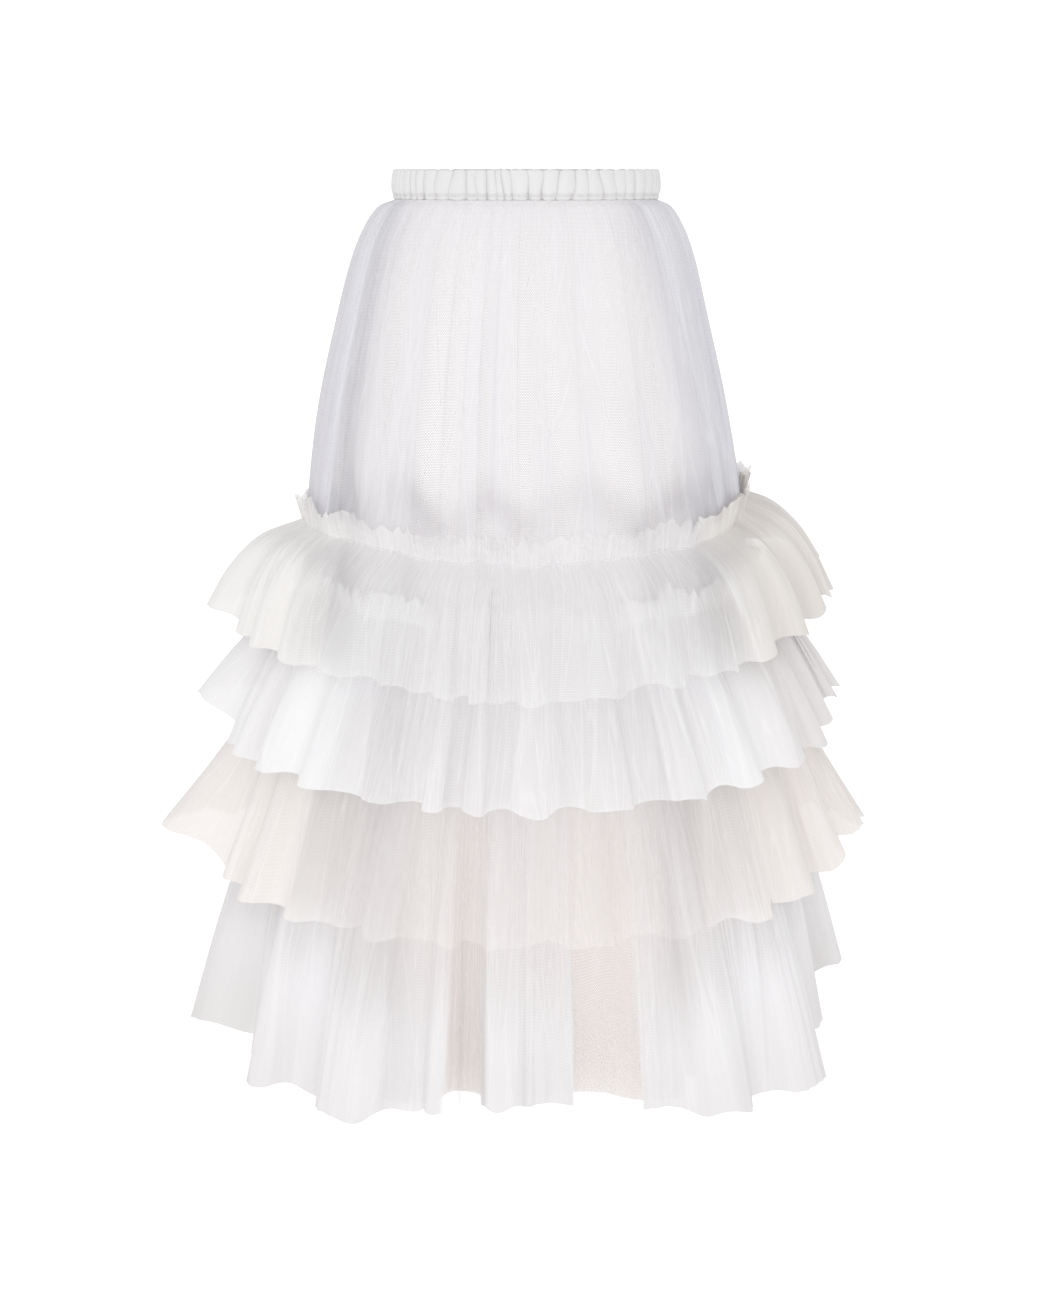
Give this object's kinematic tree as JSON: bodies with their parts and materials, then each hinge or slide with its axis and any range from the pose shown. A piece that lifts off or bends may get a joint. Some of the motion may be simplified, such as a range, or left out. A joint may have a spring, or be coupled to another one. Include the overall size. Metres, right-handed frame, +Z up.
{
  "type": "tiered ruffle skirt",
  "caption": "Midi skirt of white net with a gathered elastic waist, a satin slip inside and tiers of gathered ruffles that widen towards the hem.",
  "frame": {"origin": "middle of the waist, at half the height of the waistband, on the wearer's axis", "axes": "+Z up, towards the wearer's head; -Y to the front; +X to the right as seen from the front"},
  "size_m": [0.6753, 0.6148, 0.8257],
  "materials": {
    "casing": "thin woven satin, gathered by elastic",
    "satin": "smooth ivory satin with a soft sheen",
    "net_cool": "fine soft net, cool white, see-through in one layer",
    "net_ivory": "fine soft net, warm white, see-through in one layer"
  },
  "bodies": {
    "root": {"waistband": "casing", "slip_front": "satin", "slip_back": "satin", "overskirt_front": "net_cool", "overskirt_back": "net_cool", "ruffle_1_front": "net_ivory", "ruffle_1_back": "net_ivory", "ruffle_2_front": "net_cool", "ruffle_2_back": "net_cool", "ruffle_3_front": "net_ivory", "ruffle_3_back": "net_ivory", "ruffle_4_front": "net_cool", "ruffle_4_back": "net_cool"}
  },
  "joints": []
}
